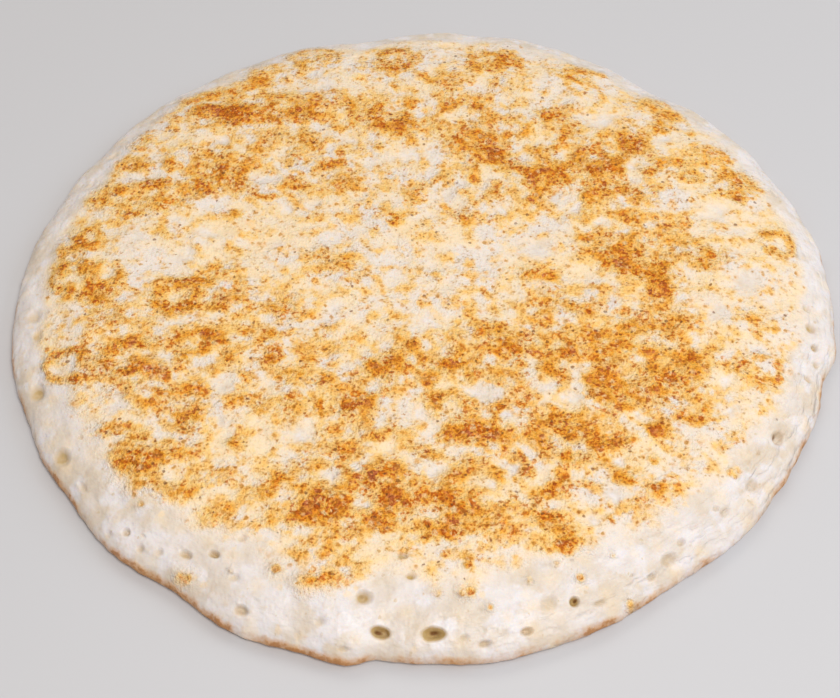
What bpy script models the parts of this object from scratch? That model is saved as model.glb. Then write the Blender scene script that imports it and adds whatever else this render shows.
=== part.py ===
"""Uttapam: a thick round griddled bread of fermented batter, one solid of one piece.

Units are metres with +Z up. The underside is flat and lies on z = 0, and the origin is
the middle of the footprint. Bearings are degrees from +X towards +Y.
"""

import math

import bmesh
import bpy
from mathutils import Matrix, Vector, noise

MM = 0.001

# The bread as a whole.
MEAN_RADIUS = 82.4 * MM
THICKNESS = 8.4 * MM

# The crown: how the top rises from the thin edge to the flat middle.
CROWN_WIDTH = 26.0 * MM
CROWN_FULLNESS = 2.4
LIP_HEIGHT = 1.3 * MM
LIP_CURL = 3.0 * MM

# Gentle unevenness of the top, which dies out at the edge.
RIPPLE_HEIGHT = 0.45 * MM
RIPPLE_LENGTH = 11.0 * MM
RIPPLE_FADE = 7.0 * MM

# The ladle leaves an uneven round. Each row is one swell or dip of the edge:
# bearing, half width in degrees, reach in millimetres.
SWELLS = (
    (10, 3.0, 0.7), (12, 12.0, 1.3), (19, 1.6, 0.4), (31, 2.0, 0.7), (36, 10.0, 0.5),
    (42, 2.5, 0.5), (50, 4.0, -1.6), (67, 2.0, 0.6), (74, 3.0, 1.2), (86, 2.5, 0.5),
    (100, 5.0, -1.9), (118, 3.5, -0.9), (128, 2.5, -0.7), (140, 2.0, -0.3), (149, 3.0, -0.8),
    (161, 3.0, -0.7), (176, 12.0, 0.3), (190, 4.0, 0.4), (202, 4.0, -0.5), (216, 4.0, -0.9),
    (236, 3.5, -1.2), (248, 4.0, 1.1), (260, 3.5, 1.5), (264.5, 1.5, -0.9), (278, 4.0, 0.8),
    (304, 6.0, -1.4), (324, 1.3, -0.5), (325, 16.0, -0.8), (332, 3.0, -0.4), (345, 2.0, -0.7),
    (351, 2.5, 1.1), (359, 4.0, 0.7),
)

# Open pores, where gas broke through the pale crown. Each row is one pore:
# bearing, distance in from the edge, length along the edge, width, depth, in degrees and millimetres.
PORES = (
    (86, 9.4, 3.5, 2.5, 0.9), (185, 5.1, 4.0, 3.0, 0.7), (189, 5.9, 3.3, 2.2, 0.6),
    (199, 3.5, 4.6, 3.2, 1.3), (206, 18.3, 2.8, 2.2, 0.8), (211, 3.0, 4.2, 3.2, 1.4),
    (217, 2.6, 3.0, 1.2, 0.7), (227, 3.4, 1.9, 1.5, 1.3), (230, 2.6, 1.8, 1.6, 0.8),
    (236, 5.3, 2.8, 1.6, 1.2), (239.5, 8.2, 2.6, 1.6, 1.5), (237.6, 2.1, 3.4, 1.3, 0.6),
    (244, 7.1, 2.0, 1.6, 0.5), (246.6, 2.9, 3.1, 1.9, 1.4), (242, 13.7, 1.8, 1.6, 0.6),
    (262, 10.1, 3.3, 2.8, 1.1), (257, 4.7, 2.2, 1.8, 0.6), (264.7, 3.3, 4.0, 2.4, 2.2),
    (267, 17.7, 2.2, 1.5, 0.7), (268.4, 13.8, 2.1, 1.6, 0.7), (271.4, 3.7, 4.7, 2.7, 2.6),
    (275.3, 3.3, 1.8, 1.2, 0.5), (277.8, 2.1, 2.6, 1.2, 1.0), (276.8, 10.9, 1.8, 1.3, 0.7),
    (283.2, 2.5, 2.6, 1.4, 1.6), (285, 12.7, 3.0, 2.6, 0.7), (287, 6.1, 3.4, 3.0, 0.9),
    (290.3, 4.8, 2.1, 1.9, 2.0), (293.5, 3.0, 3.0, 1.2, 0.8), (301.5, 2.3, 2.2, 1.3, 0.9),
    (305, 3.2, 3.8, 2.5, 1.3), (307.9, 4.6, 1.8, 1.4, 0.9), (316, 4.4, 2.6, 2.1, 0.8),
    (322.5, 3.7, 3.6, 3.0, 1.3), (331.3, 4.5, 3.4, 2.8, 1.8), (343.5, 3.2, 2.0, 1.8, 1.2),
    (346.6, 2.4, 2.0, 1.5, 0.9), (349.3, 4.4, 2.0, 1.6, 1.1), (352.6, 5.7, 2.8, 2.3, 1.2),
    (356.3, 6.2, 2.4, 1.8, 1.0),
)

# The mesh: a six-sided fan cut into rings, which crowd together towards the edge.
SIDES = 6
FIRST_CORNER = 90
RINGS = 28
RING_CROWDING = math.radians(84)
LIP_STEPS = 3
PORE_DETAIL = 2
SLOPE_STEP = 0.2 * MM
SHARP_ANGLE = math.radians(50)
SLIVER = 0.03 * MM

# Steamed batter between the browned patches.
BATTER_COLOUR = (0.80, 0.66, 0.48, 1.0)
BATTER_ROUGHNESS = 0.55


def remove_everything():
    for item in list(bpy.data.objects):
        bpy.data.objects.remove(item, do_unlink=True)


def edge_radius(bearing):
    """Distance from the middle of the ladled round to the edge, at a bearing in degrees."""
    radius = MEAN_RADIUS
    for centre, spread, reach in SWELLS:
        turn = (bearing - centre + 180) % 360 - 180
        radius += reach * MM * math.exp(-0.5 * (turn / spread) ** 2)
    return radius


def polar_point(bearing, radius):
    angle = math.radians(bearing)
    return radius * math.cos(angle), radius * math.sin(angle)


def top_height(x, y):
    """Height of the top over the flat underside."""
    inset = edge_radius(math.degrees(math.atan2(y, x))) - math.hypot(x, y)
    rise = min(max(inset / CROWN_WIDTH, 0), 1)
    crown = (THICKNESS - LIP_HEIGHT) * math.sqrt(1 - (1 - rise) ** CROWN_FULLNESS)
    ripple = RIPPLE_HEIGHT * noise.noise(Vector((x, y, 0)) / RIPPLE_LENGTH)
    return LIP_HEIGHT + crown + ripple * min(max(inset / RIPPLE_FADE, 0), 1)


def hexagon_to_round(point):
    """Ring (0 in the middle, 1 at the edge) and bearing of a point of the triangle grid."""
    bearing = math.degrees(math.atan2(point.y, point.x))
    wedge = 360 / SIDES
    past_corner = (bearing - FIRST_CORNER) % wedge
    near = math.sin(math.radians(past_corner))
    far = math.sin(math.radians(wedge - past_corner))
    ring = math.hypot(point.x, point.y) * (near + far) / math.sin(math.radians(wedge))
    return ring, bearing - past_corner + wedge * near / (near + far)


def crowned_top(bm):
    """A six-sided fan of triangles, cut fine, rounded to the outline and raised to the crown."""
    bmesh.ops.create_circle(bm, cap_ends=True, cap_tris=True, segments=SIDES, radius=1.0)
    bmesh.ops.subdivide_edges(bm, edges=bm.edges[:], cuts=RINGS - 1, use_grid_fill=True)
    for vert in bm.verts:
        ring, bearing = hexagon_to_round(vert.co)
        share = math.sin(ring * RING_CROWDING) / math.sin(RING_CROWDING)
        x, y = polar_point(bearing, share * edge_radius(bearing))
        vert.co = (x, y, top_height(x, y))


def curled_lip(bm):
    """The thin edge turns in under the crown and runs flat into the underside."""
    loop = [edge for edge in bm.edges if edge.is_boundary]
    for step in range(1, LIP_STEPS + 1):
        angle = math.radians(90 * step / LIP_STEPS)
        grown = bmesh.ops.extrude_edge_only(bm, edges=loop)["geom"]
        loop = [item for item in grown if isinstance(item, bmesh.types.BMEdge)]
        for vert in (item for item in grown if isinstance(item, bmesh.types.BMVert)):
            bearing = math.degrees(math.atan2(vert.co.y, vert.co.x))
            x, y = polar_point(bearing, edge_radius(bearing) - LIP_CURL * (1 - math.cos(angle)))
            vert.co = (x, y, LIP_HEIGHT * (1 - math.sin(angle)))
    bmesh.ops.holes_fill(bm, edges=loop, sides=0)


def bread_mesh():
    bm = bmesh.new()
    crowned_top(bm)
    curled_lip(bm)
    bmesh.ops.recalc_face_normals(bm, faces=bm.faces[:])
    bmesh.ops.triangulate(bm, faces=bm.faces[:])
    mesh = bpy.data.meshes.new("uttapam")
    bm.to_mesh(mesh)
    bm.free()
    mesh.shade_smooth()
    mesh.set_sharp_from_angle(angle=SHARP_ANGLE)
    return mesh


def pore_placement(bearing, inset, length, width, depth):
    """Where one ball sits, stretched along the edge and sunk square to the slope."""
    x, y = polar_point(bearing, edge_radius(bearing) - inset * MM)
    slope_x = (top_height(x + SLOPE_STEP, y) - top_height(x - SLOPE_STEP, y)) / (2 * SLOPE_STEP)
    slope_y = (top_height(x, y + SLOPE_STEP) - top_height(x, y - SLOPE_STEP)) / (2 * SLOPE_STEP)
    normal = Vector((-slope_x, -slope_y, 1)).normalized()
    along = Vector((-y, x, 0)).normalized()
    along = (along - normal * along.dot(normal)).normalized()
    across = normal.cross(along)
    turn = Matrix((along, across, normal)).transposed().to_4x4()
    size = Matrix.Diagonal((length * MM / 2, width * MM / 2, depth * MM, 1))
    return Matrix.Translation((x, y, top_height(x, y))) @ turn @ size


def pore_mesh():
    bm = bmesh.new()
    for pore in PORES:
        bmesh.ops.create_icosphere(bm, subdivisions=PORE_DETAIL, radius=1.0, matrix=pore_placement(*pore))
    mesh = bpy.data.meshes.new("pores")
    bm.to_mesh(mesh)
    bm.free()
    return mesh


def batter_material():
    material = bpy.data.materials.new("griddled_batter")
    material.use_nodes = True
    shader = material.node_tree.nodes["Principled BSDF"]
    shader.inputs["Base Color"].default_value = BATTER_COLOUR
    shader.inputs["Roughness"].default_value = BATTER_ROUGHNESS
    shader.inputs["Metallic"].default_value = 0.0
    return material


def place_in(name, item):
    collection = bpy.data.collections.new(name)
    bpy.context.scene.collection.children.link(collection)
    collection.objects.link(item)


def footprint_middle(mesh):
    """Middle of the box that the bread fills, on the level of its underside."""
    across = [vert.co.x for vert in mesh.vertices]
    along = [vert.co.y for vert in mesh.vertices]
    return Vector(((min(across) + max(across)) / 2, (min(along) + max(along)) / 2, 0))


def build():
    remove_everything()
    bread = bpy.data.objects.new("uttapam", bread_mesh())
    bread.data.materials.append(batter_material())
    place_in("uttapam", bread)

    pores = bpy.data.objects.new("pores", pore_mesh())
    pores.hide_render = True
    pores.display_type = "WIRE"
    place_in("cutters", pores)

    middle = footprint_middle(bread.data)
    bread.location = -middle
    pores.location = -middle

    cut = bread.modifiers.new("open pores", "BOOLEAN")
    cut.operation = "DIFFERENCE"
    cut.solver = "EXACT"
    cut.object = pores
    weld = bread.modifiers.new("no slivers", "WELD")
    weld.merge_threshold = SLIVER


build()
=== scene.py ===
"""Studio picture of an uttapam, a thick round griddled bread of fermented batter.

The bread is one mesh, made from a disc of triangles. Python moves its points to the crowned form, sinks the
open pores into it and paints where it browned. Node materials add the fine speckle.
"""

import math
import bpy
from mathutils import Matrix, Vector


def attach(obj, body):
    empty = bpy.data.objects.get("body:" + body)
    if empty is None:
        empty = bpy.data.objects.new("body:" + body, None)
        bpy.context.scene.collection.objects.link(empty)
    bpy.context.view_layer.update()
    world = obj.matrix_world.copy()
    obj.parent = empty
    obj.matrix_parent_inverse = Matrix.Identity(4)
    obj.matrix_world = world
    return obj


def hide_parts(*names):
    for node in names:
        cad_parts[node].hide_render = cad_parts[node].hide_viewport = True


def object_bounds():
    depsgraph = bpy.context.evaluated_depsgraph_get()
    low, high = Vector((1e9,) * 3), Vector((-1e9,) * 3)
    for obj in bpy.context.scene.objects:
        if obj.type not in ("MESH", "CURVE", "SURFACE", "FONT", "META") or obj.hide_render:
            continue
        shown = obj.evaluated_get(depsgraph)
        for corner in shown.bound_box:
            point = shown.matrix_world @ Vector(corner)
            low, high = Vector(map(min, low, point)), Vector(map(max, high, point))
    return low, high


bl_info = {
    "name": "Griddled Uttapam",
    "version": (1, 0, 0),
    "blender": (4, 5, 0),
    "location": "3D View > Sidebar > Uttapam",
    "description": "Builds a browned uttapam with open pores on a pale studio floor",
    "category": "Add Mesh",
}

from types import SimpleNamespace

import bmesh
import bpy
import numpy as np
from bpy.props import FloatProperty, FloatVectorProperty, IntProperty, PointerProperty
from mathutils import Vector, noise

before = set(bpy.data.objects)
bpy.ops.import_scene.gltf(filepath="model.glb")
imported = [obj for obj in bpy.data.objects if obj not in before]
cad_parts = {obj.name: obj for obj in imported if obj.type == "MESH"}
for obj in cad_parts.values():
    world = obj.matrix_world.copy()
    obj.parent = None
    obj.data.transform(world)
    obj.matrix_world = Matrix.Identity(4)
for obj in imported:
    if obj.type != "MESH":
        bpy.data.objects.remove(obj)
cad_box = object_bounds()

MM = 0.001

# The ladle leaves an uneven round. Each row is one swell or dip of the edge:
# bearing, half width in degrees, reach in millimetres. Bearings run from +X towards +Y.
SWELLS = (
    (10, 3, 0.7), (12, 12, 1.3), (19, 1.6, 0.4), (31, 2, 0.7), (36, 10, 0.5), (42, 2.5, 0.5), (50, 4, -1.6),
    (67, 2, 0.6), (74, 3, 1.2), (86, 2.5, 0.5), (100, 5, -1.9), (118, 3.5, -0.9), (128, 2.5, -0.7),
    (140, 2, -0.3), (149, 3, -0.8), (161, 3, -0.7), (176, 12, 0.3), (190, 4, 0.4), (202, 4, -0.5),
    (216, 4, -0.9), (236, 3.5, -1.2), (248, 4, 1.1), (260, 3.5, 1.5), (264.5, 1.5, -0.9), (278, 4, 0.8),
    (304, 6, -1.4), (324, 1.3, -0.5), (325, 16, -0.8), (332, 3, -0.4), (345, 2, -0.7), (351, 2.5, 1.1),
    (359, 4, 0.7),
)

# Open pores, where gas broke through the pale crown. Each row is one pore:
# bearing, distance in from the edge, length along the edge, width, depth, in degrees and millimetres.
PORES = (
    (86, 9.4, 3.5, 2.5, 0.9), (185, 5.1, 4, 3, 0.9), (189, 5.9, 3.3, 2.2, 0.9), (199, 3.5, 4.6, 3.2, 1.3),
    (206, 18.3, 2.8, 2.2, 0.8), (211, 3, 4.2, 3.2, 1.4), (217, 2.6, 3, 1.2, 0.7), (227, 3.4, 1.9, 1.5, 1.3),
    (230, 2.6, 1.8, 1.6, 0.8), (236, 5.3, 2.8, 1.6, 1.2), (239.5, 8.2, 2.6, 1.6, 1.5),
    (237.6, 2.1, 3.4, 1.3, 0.6), (244, 7.1, 2, 1.6, 0.5), (246.6, 2.9, 3.1, 1.9, 1.4),
    (242, 13.7, 1.8, 1.6, 0.6), (262, 10.1, 3.3, 2.8, 1.5), (257, 4.7, 2.2, 1.8, 0.6),
    (264.7, 3.3, 4, 2.4, 2.2), (267, 17.7, 2.2, 1.5, 1), (268.4, 13.8, 2.1, 1.6, 1),
    (271.4, 3.7, 4.7, 2.7, 2.6), (275.3, 3.3, 1.8, 1.2, 0.5), (277.8, 2.1, 2.6, 1.2, 1),
    (276.8, 10.9, 1.8, 1.3, 0.7), (283.2, 2.5, 2.6, 1.4, 1.6), (285, 12.7, 3, 2.6, 0.7),
    (287, 6.1, 3.4, 3, 0.9), (290.3, 4.8, 2.1, 1.9, 2), (293.5, 3, 3, 1.2, 0.8), (301.5, 2.3, 2.2, 1.3, 0.9),
    (305, 3.2, 3.8, 2.5, 1.3), (307.9, 4.6, 1.8, 1.4, 0.9), (316, 4.4, 2.6, 2.1, 0.8),
    (322.5, 3.7, 3.6, 3, 1.3), (331.3, 4.5, 3.4, 2.8, 1.8), (343.5, 3.2, 2, 1.8, 1.2),
    (346.6, 2.4, 2, 1.5, 0.9), (349.3, 4.4, 2, 1.6, 1.1), (352.6, 5.7, 2.8, 2.3, 1.2),
    (356.3, 6.2, 2.4, 1.8, 1),
)

# Finer pores and slits, in the same columns.
FINE_PORES = (
    (210.1, 7.6, 1.2, 1, 0.5), (225.8, 8.6, 1.5, 1.3, 0.7), (225.8, 10.7, 1.6, 0.6, 0.4),
    (225, 1.4, 2, 1.2, 0.6), (229.2, 4.6, 1.4, 0.6, 0.4), (232.6, 3.7, 1.8, 1.5, 0.5),
    (248.8, 11.7, 1.4, 1.2, 0.7), (260.4, 1.6, 2.4, 0.9, 0.6), (292.3, 8.2, 1.4, 1.2, 0.9),
    (279.1, 7.8, 1, 1, 0.6), (299.1, 4.4, 0.8, 0.7, 0.5), (315.2, 5.9, 1.4, 1.2, 0.7),
    (320.3, 2.2, 1.5, 1.3, 0.5), (322.6, 7.1, 1.4, 1.1, 0.9), (321.2, 7.1, 0.9, 0.8, 0.7),
    (327, 6.4, 0.9, 0.9, 0.5), (277.2, 15.9, 0.8, 0.7, 0.5), (277.4, 17.5, 0.8, 0.7, 0.5),
    (273.3, 18.3, 0.9, 0.8, 0.5), (150, 4.5, 3.2, 1.4, 0.4), (157, 5.5, 3.6, 1.6, 0.4),
    (134, 3.2, 2.6, 1.4, 0.4), (20, 4, 2.4, 1.6, 0.4), (38, 3.4, 2, 1.4, 0.4),
)

# Stretches of the edge whose pores get more painted shade inside: bearing, half width in degrees, how much
# darker.
PORE_SHADES = (
    (188, 5, 0.3), (204, 14, 0.42), (240, 9, 0.35), (269, 10, 0.6), (291, 3, 0.45), (351, 9, 0.4),
)

# Browned patches, where the top lay against the griddle. Each row is one patch:
# x, y from the middle of the round, half length across, half length away, strength; millimetres.
PATCHES = (
    # Far left.
    (-37, 66, 4, 3, 0.45), (-37, 60.5, 4, 4, 0.45), (-49.5, 56, 4.5, 3, 0.6), (-46, 51, 5, 2.5, 0.8),
    (-40, 50, 5, 4, 0.95), (-39.5, 46.5, 2.5, 1.5, 0.8), (-33, 54, 4, 3, 0.5), (-26, 53, 6, 3.5, 0.45),
    (-25.5, 48.5, 6, 3, 0.6), (-32, 47, 3, 2, 0.55), (-12, 50, 6, 3, 0.6), (-16, 53, 4, 2, 0.5),
    (-3, 46, 2.5, 4.5, 0.8), (-8, 45, 4, 3, 0.5), (-25, 41, 3.5, 3.5, 0.6), (-27, 36, 2, 2, 0.5),
    (-61, 42, 4, 3, 0.45), (-64, 36, 3, 2.5, 0.35), (-60, 33.5, 3, 2, 0.55), (-45, 35, 9, 4, 0.3),
    (-43, 28.5, 9, 4, 0.5), (-47, 26, 4, 2, 0.6), (-57, 28, 4, 1.8, 0.75), (-66, 27, 5, 2.5, 0.3),
    (-68, 23.5, 3, 1.5, 0.5), (-58, 22, 7, 2, 0.5), (-61, 19.5, 3, 1.2, 0.55), (-33, 24, 5, 1.2, 0.6),
    (-18, 33, 3, 1.8, 0.8), (-27, 28, 2.8, 2, 0.8), (-15, 28, 3.5, 2, 0.5), (-39, 19, 2.5, 1, 0.6),
    (-5.5, 16.5, 1.5, 1.5, 0.65), (-8, 20, 4, 3, 0.3), (-32, 38, 6, 4, 0.15), (-53, 14, 2, 1.5, 0.5),
    (-69, 14, 4.5, 3, 0.4), (-70, 10.5, 3, 1.5, 0.5), (-40, 3.5, 4, 1.8, 0.65), (-38, 9, 2, 1.2, 0.4),
    (-18, 6, 6, 4, 0.35), (-15.5, 4.5, 1.5, 1, 0.5), (-46, 0, 5, 1.5, 0.75), (-36, 0, 3, 2, 0.4),
    (-13, 2, 3, 2, 0.3), (-8, 65.5, 7, 4, 0.6), (-27, 72, 5, 4, 0.5), (-30, 63, 4, 3, 0.3),
    (-43, 56.5, 4, 3, 0.4), (-55, 52, 3, 3, 0.3), (-40, 49, 3, 2.5, 0.6), (-48, 49.5, 3.5, 2.5, 0.5),
    (-73, 11, 3, 4, 0.3), (-24, 33, 4, 3, 0.4), (-23, 69, 5, 3, 0.5), (-4, 69, 4, 3, 0.5),
    (-73, 3, 3, 4, 0.45), (-54, 38, 4, 4, 0.15), (-70, 9, 4, 3, 0.4),
    # Far right.
    (14, 67.5, 4.5, 4, 0.5), (20, 67, 3.5, 4, 0.75), (31, 51, 3, 3, 0.3), (53, 55, 3, 3, 0.35),
    (70, 30, 5, 4, 0.5), (28, 27.5, 5, 3, 0.55), (48, 23, 3, 2.5, 0.4), (59, 6, 3, 3, 0.3),
    (34, 64, 5.5, 3.5, 0.45), (34, 60.5, 3, 1.2, 0.5), (42, 64, 2, 2, 0.4), (6, 60, 4, 3, 0.45),
    (5, 57, 3, 2, 0.35), (9, 52, 5, 2.5, 0.5), (13, 51, 1.5, 1.5, 0.6), (28, 48.5, 3.5, 2.2, 0.85),
    (18, 47, 4, 2.5, 0.4), (27, 57, 1.5, 1, 0.35), (52, 45.5, 3, 2.5, 0.8), (50, 54, 6, 3, 0.35),
    (54, 50, 3, 4, 0.4), (11, 43, 5, 4, 0.6), (8, 39, 3.5, 3, 0.5), (15.5, 38, 4, 4, 0.8),
    (14, 34, 3.5, 2, 0.35), (3, 44, 3, 3, 0.35), (32, 45, 4.5, 3.5, 0.55), (45, 39, 4.5, 4, 0.65),
    (39, 43, 2, 2, 0.4), (25, 31.5, 8, 3.5, 0.6), (27, 31.5, 3, 1.2, 0.85), (38, 33, 5, 5, 0.75),
    (37, 31, 2, 2, 0.9), (40, 26, 6, 2.5, 0.7), (49, 25.5, 2, 1.5, 0.6), (24, 25, 7, 3.5, 0.35),
    (23, 22.5, 3, 1.2, 0.65), (15, 26, 3, 2, 0.4), (55, 33.5, 4.5, 2.5, 0.6), (57, 30, 3, 2, 0.55),
    (50, 33, 3, 3, 0.45), (62, 37, 4, 4, 0.4), (66, 31, 4, 2.5, 0.4), (65.5, 26, 4, 3, 0.5),
    (66, 23.5, 1.5, 1.2, 0.7), (71, 28, 2.5, 2, 0.35), (52, 17, 4, 2.5, 0.35), (47, 12.5, 4, 2.5, 0.4),
    (40, 7, 6, 4, 0.65), (42, 4, 5, 2.5, 0.6), (54, 9, 3.5, 3, 0.55), (57, 4.5, 3, 2, 0.65),
    (48, 0, 3, 7.5, 0.85), (33, 18, 3, 2, 0.3), (33, 11, 4, 3, 0.4), (22, 2.5, 3, 2, 0.45),
    (27, 1, 3, 1.5, 0.4), (3, 1.5, 1.5, 1, 0.45), (8, 18.5, 1.2, 1, 0.55), (45, 43, 3, 3, 0.4),
    (35, 41, 3, 3, 0.35), (25, 1.5, 4, 2.5, 0.4), (60, 6, 3, 3, 0.35), (10, 3, 5, 3, 0.25),
    (18, 35, 3, 5, 0.4), (56, 48, 3, 3, 0.3),
    # Near left.
    (-60.5, -2, 2, 5, 0.25), (-61, -8, 4, 3, 0.4), (-58, -26, 4, 3, 0.35), (-27, -8, 3, 4, 0.35),
    (-65, -4, 3.5, 3, 0.6), (-27, -6, 2.8, 5, 0.5), (-56, -46, 3, 3, 0.35), (-50, -48, 4, 3, 0.4),
    (-45, -36, 3, 2, 0.3), (-19, -69.5, 5, 3, 0.35), (-66, -2.5, 4, 2.2, 0.6), (-48, -8, 4, 1.4, 0.2),
    (-41, -4, 2.2, 3.5, 0.75), (-36.5, -3, 3, 2.5, 0.5), (-34, -7, 4, 3, 0.35), (-60, -11, 4, 3, 0.3),
    (-69, -17.5, 4, 1.5, 0.35), (-67, -24, 3.5, 1.5, 0.6), (-63, -20, 1.6, 4, 0.7), (-54, -15.5, 4, 2, 0.5),
    (-54, -21.5, 4, 2, 0.6), (-51, -24, 2, 2, 0.7), (-46, -12.5, 4, 2, 0.35), (-41, -15, 2, 3, 0.5),
    (-36, -13, 3, 3, 0.25), (-28.2, -19, 1.8, 1.2, 0.95), (-46, -28, 6, 2.5, 0.55), (-43, -33, 3, 2.5, 0.7),
    (-50, -32, 3, 2, 0.4), (-33, -31, 4, 2.5, 0.45), (-25, -31.5, 5, 3.5, 0.5), (-13, -31.5, 4, 3.5, 0.65),
    (-10, -30, 2, 3, 0.6), (-24, -24, 5, 3, 0.35), (-58, -36.5, 3.5, 2, 0.65), (-53, -38, 2.5, 1.5, 0.55),
    (-53, -43, 5, 3.5, 0.85), (-47.5, -42.5, 3, 3, 0.6), (-36, -40, 1.6, 1.4, 0.8), (-44, -36, 4, 3, 0.45),
    (-17, -41, 4, 4, 0.4), (-12, -37, 4, 2.5, 0.35), (-52, -50, 4, 2, 0.35), (-44, -50, 4, 2, 0.35),
    (-37, -48, 3.5, 2.5, 0.5), (-25, -47, 5, 3, 0.5), (-38, -56, 4, 2.5, 0.3), (-30, -52, 3, 2, 0.5),
    (-25.5, -56, 4, 3.5, 0.5), (-17, -54.5, 6, 4, 0.9), (-19, -50.5, 4, 1.5, 0.5), (-9, -47, 5.5, 2.5, 0.85),
    (-6, -52, 4, 3, 0.85), (-7, -57, 4, 3, 0.8), (-13, -60, 4, 1.5, 0.6), (-19, -64, 5, 2.5, 0.35),
    (-19, -68.5, 3, 1.5, 0.6), (-13, -67, 4, 2.5, 0.4), (-5, -21, 4.5, 3.5, 0.65), (-3, -17, 3, 2, 0.4),
    (-9, -23.5, 4, 3, 0.45), (-46, -51, 4, 3, 0.4), (-36, -57, 3, 2.5, 0.4), (-18, -70.5, 5, 3, 0.3),
    # Near right.
    (37, -5, 3, 3, 0.35), (26, -41, 4, 2, 0.4), (17, -33, 3, 2.5, 0.5), (36, -48, 4, 2, 0.15),
    (10, -60, 5, 2, 0.3), (54, -40, 5, 3, 0.15), (27, -63, 5, 2, 0.3), (6, -58, 4, 2, 0.3),
    (40, -54, 4, 2, 0.12), (27, -5.5, 6, 3.5, 0.55), (23, -10, 3, 2, 0.5), (14, -12.5, 3.5, 2.5, 0.75),
    (17.5, -16, 4.5, 3, 0.65), (25, -15, 5, 3.5, 0.35), (32, -8, 1.8, 1.6, 0.75), (39.5, -17, 4, 3, 0.6),
    (40, -11, 4, 4, 0.5), (45.5, -11.5, 4, 4, 0.65), (52, -9, 3, 4, 0.4), (5, -21, 6, 2.5, 0.5),
    (7, -21, 1.5, 1, 0.6), (12, -22, 4, 2, 0.2), (8, -26, 1.2, 1, 0.7), (14.5, -25.5, 1.5, 1.5, 0.6),
    (1, -25, 2.5, 1.5, 0.3), (33, -26, 4, 3, 0.5), (46, -31, 3.5, 3, 0.55), (54, -25, 3, 5, 0.35),
    (45, -53, 4, 2, 0.25), (38, -28.5, 5, 4, 0.8), (45, -25, 4, 3.5, 0.8), (50, -25, 3, 5, 0.75),
    (52.5, -20.5, 2, 3, 0.6), (36, -22, 5, 3, 0.35), (53, -32, 1.8, 2.5, 0.75), (50, -34.5, 3, 1.5, 0.5),
    (44.5, -36.5, 2.3, 2, 0.85), (10, -37, 4.5, 3.2, 0.85), (16, -38.5, 3, 2, 0.55), (10, -44, 3, 1.5, 0.35),
    (24, -35, 3.5, 3, 0.45), (29, -37, 4.5, 4, 0.65), (35, -40, 4, 1.3, 1), (29, -43.5, 4, 2, 0.65),
    (37, -48, 2, 1.3, 0.75), (43.5, -44, 1.2, 1.2, 0.55), (43, -50, 2.5, 1.8, 0.55), (58, -46, 1.3, 1, 0.7),
    (23.5, -51, 2.8, 1.5, 0.6), (19.5, -47, 1.4, 1.2, 0.8), (1, -51, 3.5, 2.5, 0.5), (6, -54, 4, 3.5, 0.8),
    (3, -59.5, 5, 2.5, 0.8), (12, -56, 2.5, 2.5, 0.5), (23, -57, 3.5, 2.2, 0.75), (26, -61, 3.5, 2.5, 0.85),
    (21, -62, 3, 1.5, 0.5), (34.5, -57, 1.2, 1, 0.65), (41, -57, 3, 2, 0.3), (65, -8, 3.5, 2.5, 0.4),
    (66, -13, 2, 1.5, 0.35), (70, -12, 1, 0.8, 0.5), (58, -38, 3, 3, 0.3), (8, -64, 4, 2, 0.2),
    (14, -60, 5, 3, 0.3), (15, -66, 4, 1.5, 0.25),
)

# Wide zones of faint film between them, in the same columns.
FILM = (
    (26, -20, 40, 14, 0.2), (24, -44, 32, 14, 0.18), (30, 32, 32, 13, 0.2), (45, 8, 14, 12, 0.16),
    (-12, -50, 28, 10, 0.16), (-50, -17, 20, 20, 0.14), (-28, 46, 26, 10, 0.18), (-47, 28, 22, 8, 0.18),
    (8, 56, 26, 8, 0.12), (-16, -24, 24, 12, 0.1), (-15, 6, 10, 6, 0.12), (-4, 24, 18, 10, 0.1),
)

# Single browned spots on the pale edge: x, y, half size, strength; millimetres.
RIM_SPOTS = (
    (-43.5, -66.5, 1, 0.7), (-41.8, -67.2, 1, 0.8), (-26, -67, 0.9, 1), (8.6, -71.7, 1, 0.95),
    (6.8, -72, 0.7, 0.6), (12, -74.4, 0.6, 0.75), (28, -68.4, 0.8, 0.95), (59, -45, 0.7, 0.7),
    (3, -72, 0.8, 0.5), (1.5, -68, 0.8, 0.2), (8, -66.7, 0.5, 0.9), (8.4, -65.1, 0.5, 0.9),
    (3.7, -64.4, 0.5, 0.8), (37, -71.7, 0.9, 0.8), (24, -66, 0.6, 0.5), (-34, -67, 0.5, 0.6),
    (-51.4, -52.9, 0.7, 0.7), (19, -69.5, 0.6, 0.5), (34, -64, 0.5, 0.5),
)

# Patches that browned round a pale middle: x, y, half length across, half length away, strength.
BROWN_RINGS = (
    (-24, 69.5, 4.2, 4.2, 0.55), (-5.5, 68, 4.2, 3.2, 0.65), (14.5, 67, 4, 3.4, 0.5),
    (73.3, 11.5, 3.2, 3.6, 0.65), (66, -22, 4.2, 3.6, 0.6), (-45, -15.5, 3.6, 3.2, 0.55),
    (-17, -31, 2.8, 2.2, 0.55), (-71, 2, 3.2, 3.8, 0.75), (-63.5, 1.8, 3, 3.8, 0.7),
    (-49.4, -3.7, 4, 4, 0.85), (-57, -19.5, 4.4, 3.8, 0.75), (-69.5, -20.5, 3.8, 3.6, 0.75),
    (-68.5, 13, 2.2, 2.6, 0.5), (-28.1, -19.2, 1.7, 1.3, 0.8),
)

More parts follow.
